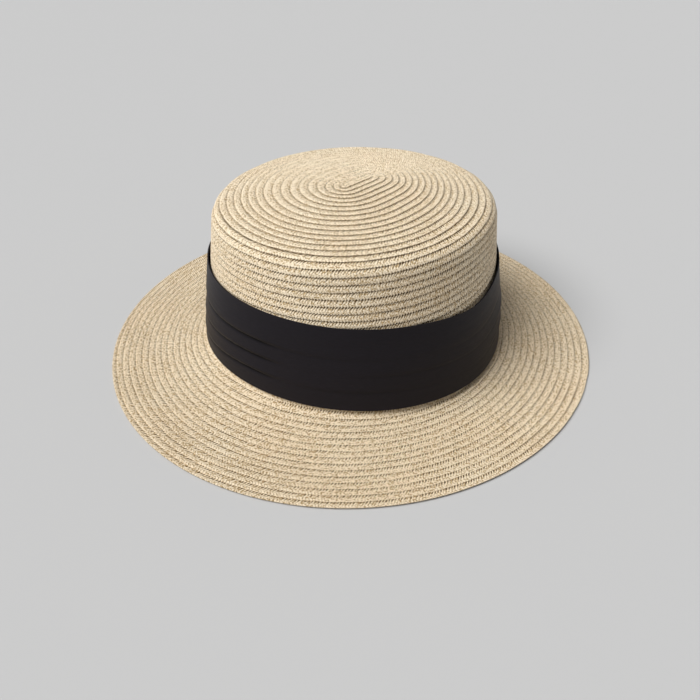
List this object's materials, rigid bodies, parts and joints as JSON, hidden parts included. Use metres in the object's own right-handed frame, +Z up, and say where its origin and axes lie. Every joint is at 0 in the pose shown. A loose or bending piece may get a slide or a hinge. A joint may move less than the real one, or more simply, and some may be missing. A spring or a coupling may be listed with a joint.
{
  "type": "straw boater hat",
  "caption": "Sewn straw braid boater hat with a shallow domed crown, a gently sloping oval brim and a wide pleated black ribbon band.",
  "frame": {"origin": "on the surface the brim rests on, under the middle of the crown", "axes": "+Z up through the crown, -Y towards the front of the hat, +Y along its longer axis towards the back, +X towards the wearer's left"},
  "size_m": [0.2956, 0.3074, 0.1033],
  "materials": {
    "straw_braid": "matte natural straw-coloured paper braid, sewn in a spiral of overlapping rows",
    "satin_ribbon": "soft black satin cloth with a low sheen, pleated lengthwise"
  },
  "bodies": {
    "root": {"crown": "straw_braid", "brim": "straw_braid", "band": "satin_ribbon"}
  },
  "joints": []
}
